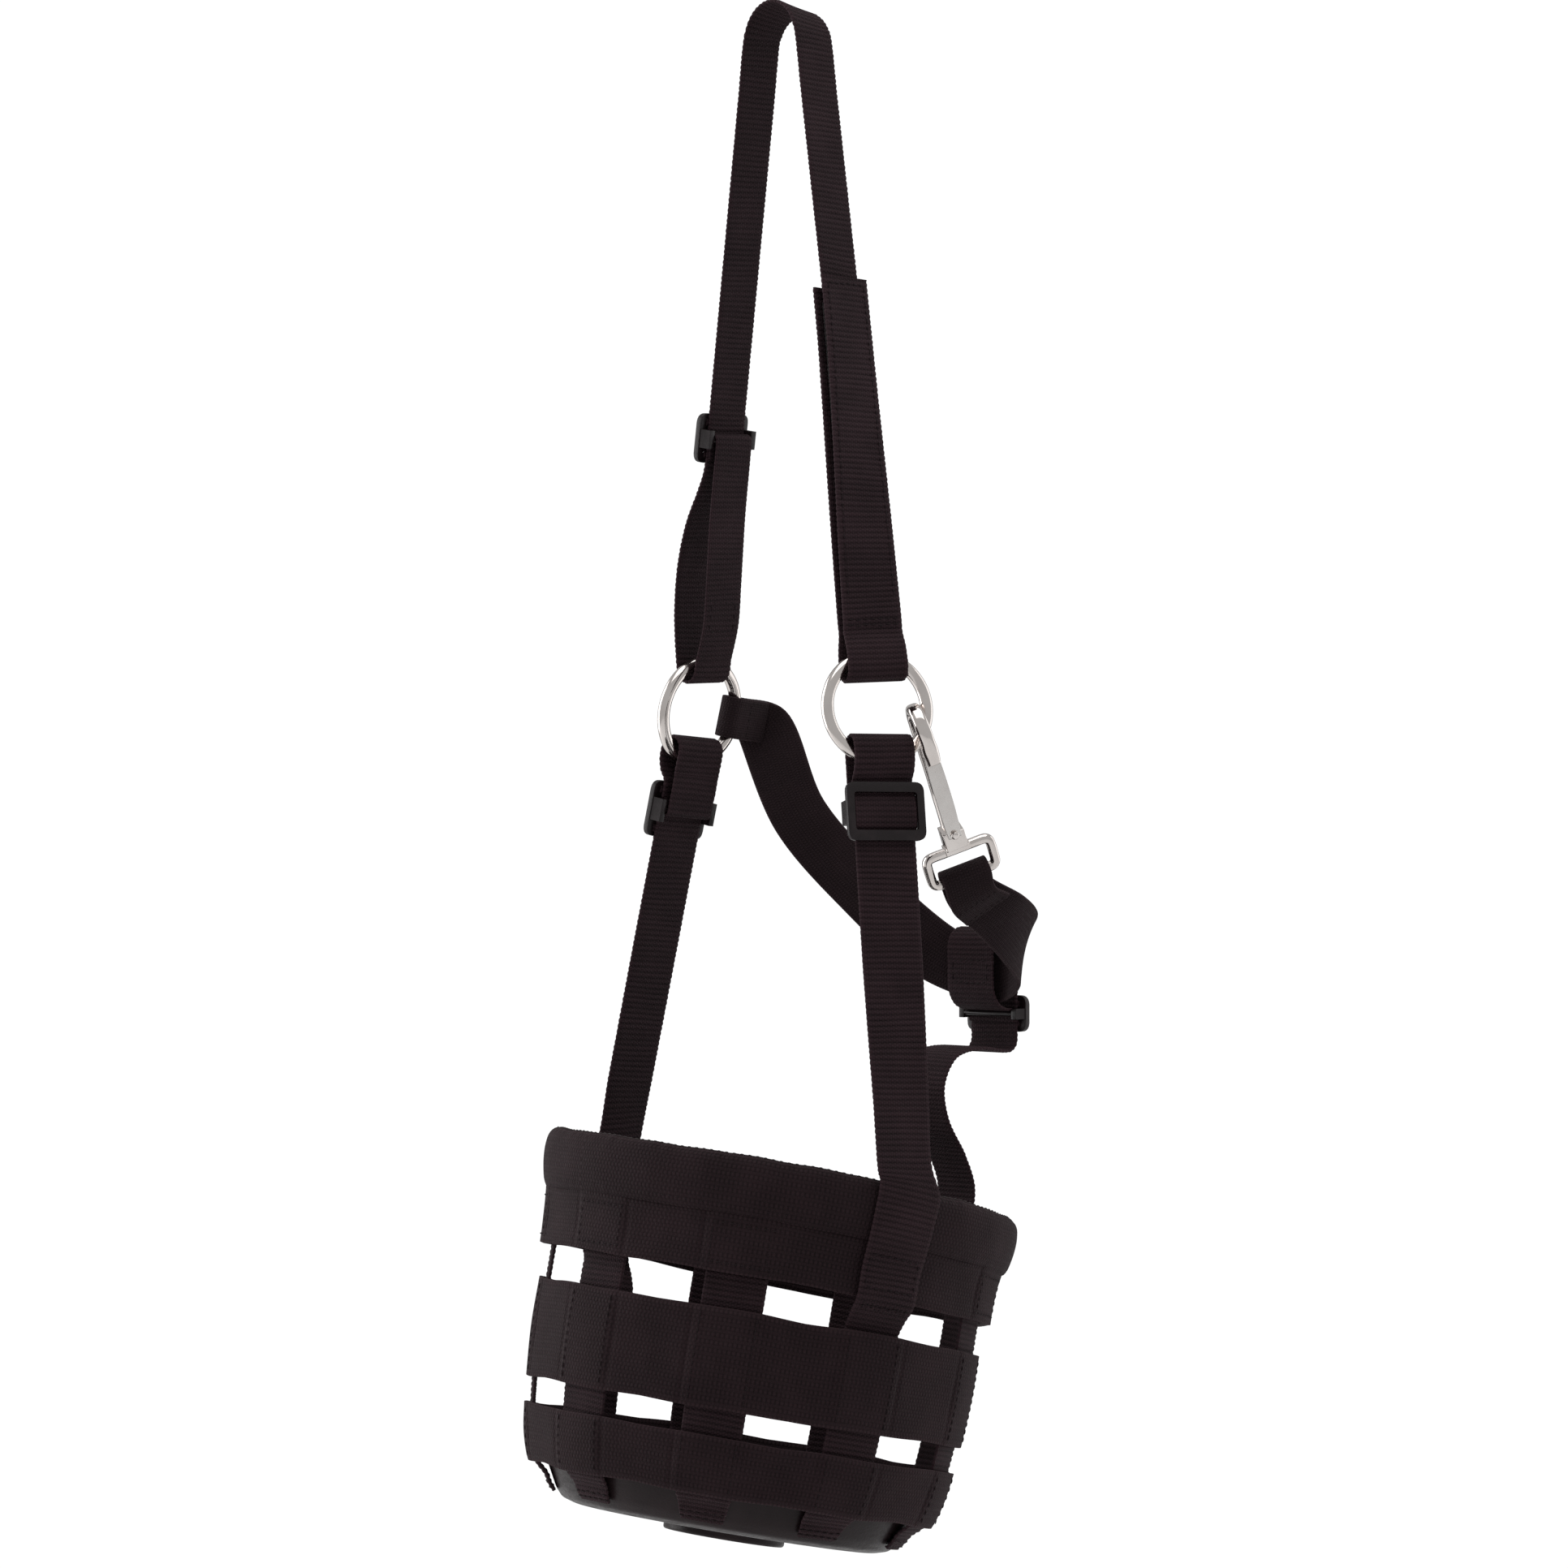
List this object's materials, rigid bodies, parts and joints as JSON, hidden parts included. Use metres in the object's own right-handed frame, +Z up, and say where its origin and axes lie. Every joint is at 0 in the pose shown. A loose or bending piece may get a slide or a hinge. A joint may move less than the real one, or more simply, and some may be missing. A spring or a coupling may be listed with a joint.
{
  "type": "grazing muzzle",
  "caption": "Grazing muzzle: webbing basket on a rubber base with a grazing hole, hung from a headstall with rings, sliders, breakaway billet, throat strap with snap, and chin strap.",
  "frame": {"origin": "inner face of the crown strap where it lies over the poll", "axes": "+Z up, +X towards the nose side of the basket, +Y towards the near (left) side"},
  "size_m": [0.2255, 0.1954, 0.6183],
  "materials": {
    "ribbed_webbing": "coarse transverse-ribbed nylon webbing, near black",
    "band_webbing": "fine plain-woven nylon webbing with stitched seams, near black",
    "throat_webbing": "smooth fine-woven nylon webbing, dark brown-black",
    "foam": "closed-cell foam core",
    "hook_tape": "hook and loop tape",
    "rubber": "moulded rubber with a slight gloss",
    "plastic": "moulded black plastic, satin",
    "nickel": "nickel-plated, polished, light wear",
    "nickel_spring": "plated spring steel"
  },
  "bodies": {
    "headstall": {"crown_strap": "ribbed_webbing", "crown_strap_return": "ribbed_webbing", "breakaway_billet": "ribbed_webbing", "hook_pad_front": "hook_tape", "hook_pad_back": "hook_tape", "throat_strap": "throat_webbing"},
    "crown_slider": {"crown_slider": "plastic"},
    "near_ring": {"near_ring": "nickel"},
    "far_ring": {"far_ring": "nickel"},
    "muzzle": {"rim_cover": "band_webbing", "rim_foam": "foam", "top_band": "band_webbing", "middle_band": "band_webbing", "lower_band": "band_webbing", "base_plate": "rubber", "front_strip": "ribbed_webbing", "front_near_strip": "ribbed_webbing", "rear_near_strip": "ribbed_webbing", "rear_strip": "ribbed_webbing", "rear_far_strip": "ribbed_webbing", "side_far_strip": "ribbed_webbing", "front_far_strip": "ribbed_webbing", "near_cheek_strap": "ribbed_webbing", "far_cheek_strap": "ribbed_webbing", "near_cheek_return": "ribbed_webbing", "far_cheek_return": "ribbed_webbing", "chin_strap": "ribbed_webbing"},
    "near_cheek_slider": {"near_cheek_slider": "plastic"},
    "far_cheek_slider": {"far_cheek_slider": "plastic"},
    "chin_slider": {"chin_slider": "plastic", "chin_strap_return": "ribbed_webbing"},
    "snap": {"snap_body": "nickel", "snap_rivet": "nickel"},
    "snap_gate": {"snap_gate": "nickel_spring"}
  },
  "joints": [
    {"name": "muzzle_swing", "type": "hinge", "parent": "headstall", "child": "muzzle", "pos_m": [-0.001, 0, -0.2795], "axis": [0, 1, 0], "range_deg": [-15, 8], "deforming": ["chin_strap", "chin_strap_return"]},
    {"name": "near_ring_turn", "type": "hinge", "parent": "headstall", "child": "near_ring", "pos_m": [-0.001, 0.06287, -0.2795], "axis": [0.2542, 0.9515, 0.1732], "continuous": true},
    {"name": "far_ring_turn", "type": "hinge", "parent": "headstall", "child": "far_ring", "pos_m": [-0.001, -0.06287, -0.2795], "axis": [0.2025, -0.9635, 0.1754], "continuous": true},
    {"name": "crown_slider_slide", "type": "slide", "parent": "headstall", "child": "crown_slider", "axis": [0, 0.1791, 0.9838], "range_m": [0, 0.06], "deforming": ["crown_strap_return"]},
    {"name": "near_cheek_slider_slide", "type": "slide", "parent": "muzzle", "child": "near_cheek_slider", "axis": [-0.054, -0.1788, 0.9824], "range_m": [-0.03, 0], "deforming": ["near_cheek_return"]},
    {"name": "far_cheek_slider_slide", "type": "slide", "parent": "muzzle", "child": "far_cheek_slider", "axis": [-0.1047, 0.1781, 0.9784], "range_m": [-0.03, 0], "deforming": ["far_cheek_return"]},
    {"name": "chin_slider_slide", "type": "slide", "parent": "headstall", "child": "chin_slider", "axis": [0, 0, 1], "range_m": [0, 0.006], "deforming": ["chin_strap_return"]},
    {"name": "snap_swing", "type": "hinge", "parent": "headstall", "child": "snap", "pos_m": [-0.01781, 0.06916, -0.2894], "axis": [-0.5125, -0.0193, 0.8585], "range_deg": [-8, 8], "deforming": ["throat_strap"]},
    {"name": "snap_gate_press", "type": "hinge", "parent": "snap", "child": "snap_gate", "pos_m": [-0.03826, 0.06267, -0.32877], "axis": [-0.8219, 0.447, 0.3532], "range_deg": [-14, 0], "stiffness_Nm_per_rad": 0.3}
  ]
}
